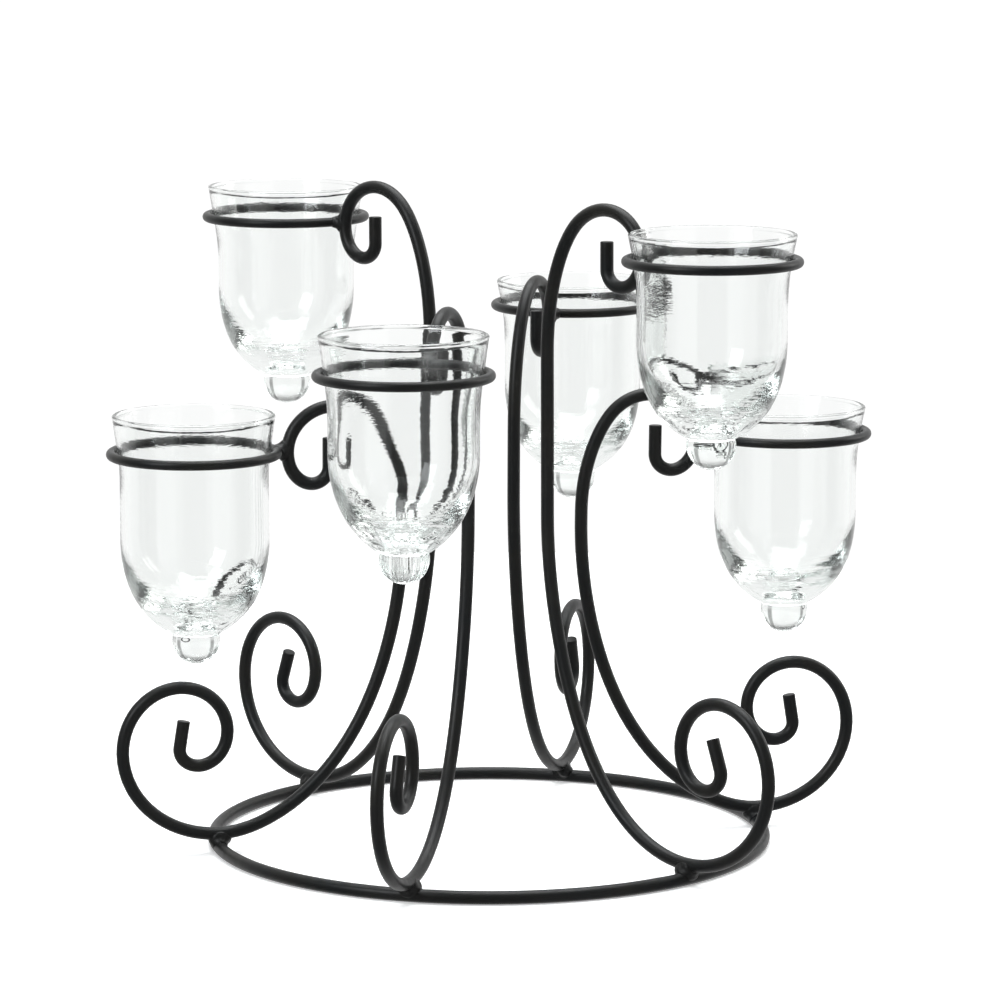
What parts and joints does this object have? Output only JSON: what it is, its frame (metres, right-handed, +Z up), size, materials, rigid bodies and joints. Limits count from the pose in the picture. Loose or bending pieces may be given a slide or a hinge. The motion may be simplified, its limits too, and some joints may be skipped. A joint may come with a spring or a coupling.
{
  "type": "votive candle rack",
  "caption": "Tabletop rack of black scroll-bent iron bar: a base ring, arms of stepped height and clear glass candle cups that lift out of welded wire rings.",
  "frame": {"origin": "on the table, at the middle of the base ring", "axes": "+Z up; +X towards arm 1, one of the two low arms; arms 1 to 6 follow anticlockwise from above, low, middle, high, low, middle, high"},
  "size_m": [0.359, 0.3266, 0.3031],
  "materials": {
    "iron": "satin black baked coat over iron bar and its welds",
    "glass": "clear hand-blown glass, rippled and thick at the bottom"
  },
  "bodies": {
    "stand": {"base_ring": "iron", "scroll_arm_1": "iron", "base_weld_1": "iron", "cup_ring_1": "iron", "hook_weld_1": "iron", "scroll_arm_2": "iron", "base_weld_2": "iron", "cup_ring_2": "iron", "hook_weld_2": "iron", "scroll_arm_3": "iron", "base_weld_3": "iron", "cup_ring_3": "iron", "hook_weld_3": "iron", "scroll_arm_4": "iron", "base_weld_4": "iron", "cup_ring_4": "iron", "hook_weld_4": "iron", "scroll_arm_5": "iron", "base_weld_5": "iron", "cup_ring_5": "iron", "hook_weld_5": "iron", "scroll_arm_6": "iron", "base_weld_6": "iron", "cup_ring_6": "iron", "hook_weld_6": "iron"},
    "cup_1": {"glass_cup_1": "glass"},
    "cup_2": {"glass_cup_2": "glass"},
    "cup_3": {"glass_cup_3": "glass"},
    "cup_4": {"glass_cup_4": "glass"},
    "cup_5": {"glass_cup_5": "glass"},
    "cup_6": {"glass_cup_6": "glass"}
  },
  "joints": [
    {"name": "cup_1_lift", "type": "slide", "parent": "stand", "child": "cup_1", "axis": [0, 0, 1], "range_m": [0, 0.105]},
    {"name": "cup_2_lift", "type": "slide", "parent": "stand", "child": "cup_2", "axis": [0, 0, 1], "range_m": [0, 0.105]},
    {"name": "cup_3_lift", "type": "slide", "parent": "stand", "child": "cup_3", "axis": [0, 0, 1], "range_m": [0, 0.105]},
    {"name": "cup_4_lift", "type": "slide", "parent": "stand", "child": "cup_4", "axis": [0, 0, 1], "range_m": [0, 0.105]},
    {"name": "cup_5_lift", "type": "slide", "parent": "stand", "child": "cup_5", "axis": [0, 0, 1], "range_m": [0, 0.105]},
    {"name": "cup_6_lift", "type": "slide", "parent": "stand", "child": "cup_6", "axis": [0, 0, 1], "range_m": [0, 0.105]}
  ]
}
